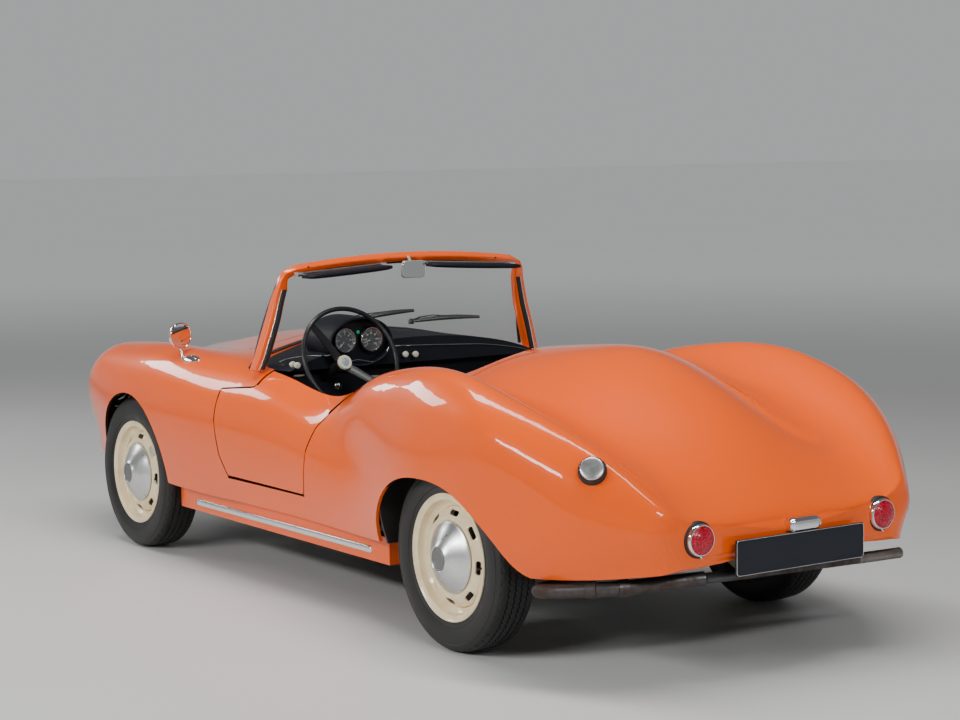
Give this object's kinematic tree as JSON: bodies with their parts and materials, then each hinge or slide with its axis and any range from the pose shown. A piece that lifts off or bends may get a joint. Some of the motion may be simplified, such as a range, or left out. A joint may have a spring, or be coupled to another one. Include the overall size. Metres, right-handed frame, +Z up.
{
  "type": "open two-seat roadster",
  "caption": "Open two-seat roadster with rounded fenders, a wrap-round windscreen, opening doors and bonnet, steered front wheels and slotted steel wheels.",
  "frame": {"origin": "on the ground, midway along and across the car", "axes": "+X forward along the car, +Y to its left, +Z up"},
  "size_m": [4.057, 1.6044, 1.22],
  "materials": {
    "paint": "gloss",
    "clear_glass": "gloss",
    "chassis_black": "satin",
    "iron": "satin",
    "exhaust_steel": "satin",
    "black_plastic": "gloss",
    "black_trim": "satin",
    "chrome": "polished",
    "seat_leather": "satin",
    "black_rubber": "matte",
    "lamp_glass": "gloss",
    "red_lens": "gloss",
    "satin_aluminium": "satin",
    "plate_black": "satin",
    "mirror_face": "polished",
    "wheel_cream": "gloss",
    "tyre_rubber": "satin"
  },
  "bodies": {
    "car_body": {"front_body": "paint", "rear_body": "paint", "sills": "paint", "windscreen_frame": "paint", "windscreen_glass": "clear_glass", "chassis_rails": "chassis_black", "cross_members": "chassis_black", "floor_pan": "chassis_black", "bulkheads": "chassis_black", "engine_block": "iron", "front_axle": "chassis_black", "rear_axle": "chassis_black", "rear_springs": "iron", "prop_shaft": "iron", "exhaust": "exhaust_steel", "steering_column": "black_plastic", "dashboard": "black_trim", "left_seat": "seat_leather", "right_seat": "seat_leather", "hand_levers": "black_plastic", "pedals": "black_rubber", "front_lamps": "lamp_glass", "grille": "chrome", "tail_lamps": "red_lens", "fender_mirror": "chrome", "fuel_cap": "satin_aluminium", "number_plate": "plate_black", "plate_lamp": "chrome", "interior_mirror": "mirror_face", "sun_visors": "black_trim", "wipers": "black_plastic"},
    "bonnet": {"bonnet": "paint"},
    "left_door": {"left_door": "paint"},
    "right_door": {"right_door": "paint"},
    "left_steering_knuckle": {"left_knuckle": "iron"},
    "right_steering_knuckle": {"right_knuckle": "iron"},
    "steering_wheel_body": {"steering_wheel": "black_plastic"},
    "front_left_road_wheel": {"front_left_wheel": "wheel_cream", "front_left_tyre": "tyre_rubber"},
    "front_right_road_wheel": {"front_right_wheel": "wheel_cream", "front_right_tyre": "tyre_rubber"},
    "rear_left_road_wheel": {"rear_left_wheel": "wheel_cream", "rear_left_tyre": "tyre_rubber"},
    "rear_right_road_wheel": {"rear_right_wheel": "wheel_cream", "rear_right_tyre": "tyre_rubber"}
  },
  "joints": [
    {"name": "bonnet_hinge", "type": "hinge", "parent": "car_body", "child": "bonnet", "pos_m": [0.5675, 0, 0.815], "axis": [0, -1, 0], "range_deg": [0, 50]},
    {"name": "left_door_hinge", "type": "hinge", "parent": "car_body", "child": "left_door", "pos_m": [0.4875, 0.686, 0.56], "axis": [0, 0, -1], "range_deg": [0, 65]},
    {"name": "right_door_hinge", "type": "hinge", "parent": "car_body", "child": "right_door", "pos_m": [0.4875, -0.686, 0.56], "axis": [0, 0, 1], "range_deg": [0, 65]},
    {"name": "left_steer", "type": "hinge", "parent": "car_body", "child": "left_steering_knuckle", "pos_m": [1.2175, 0.5, 0.308], "axis": [0, 0, 1], "range_deg": [-28, 28]},
    {"name": "right_steer", "type": "hinge", "parent": "car_body", "child": "right_steering_knuckle", "pos_m": [1.2175, -0.5, 0.308], "axis": [0, 0, 1], "range_deg": [-28, 28]},
    {"name": "steering_wheel_turn", "type": "hinge", "parent": "car_body", "child": "steering_wheel_body", "pos_m": [0.0025, 0.372, 0.844], "axis": [0.9272, 0, -0.3746], "range_deg": [-420, 420]},
    {"name": "front_left_spin", "type": "hinge", "parent": "left_steering_knuckle", "child": "front_left_road_wheel", "pos_m": [1.2175, 0.613, 0.308], "axis": [0, 1, 0], "continuous": true},
    {"name": "front_right_spin", "type": "hinge", "parent": "right_steering_knuckle", "child": "front_right_road_wheel", "pos_m": [1.2175, -0.613, 0.308], "axis": [0, 1, 0], "continuous": true},
    {"name": "rear_left_spin", "type": "hinge", "parent": "car_body", "child": "rear_left_road_wheel", "pos_m": [-1.1325, 0.633, 0.308], "axis": [0, 1, 0], "continuous": true},
    {"name": "rear_right_spin", "type": "hinge", "parent": "car_body", "child": "rear_right_road_wheel", "pos_m": [-1.1325, -0.633, 0.308], "axis": [0, 1, 0], "continuous": true}
  ],
  "couplings": [
    {"joint": "right_steer", "follows": "left_steer", "ratio": 1},
    {"joint": "steering_wheel_turn", "follows": "left_steer", "ratio": -15}
  ]
}
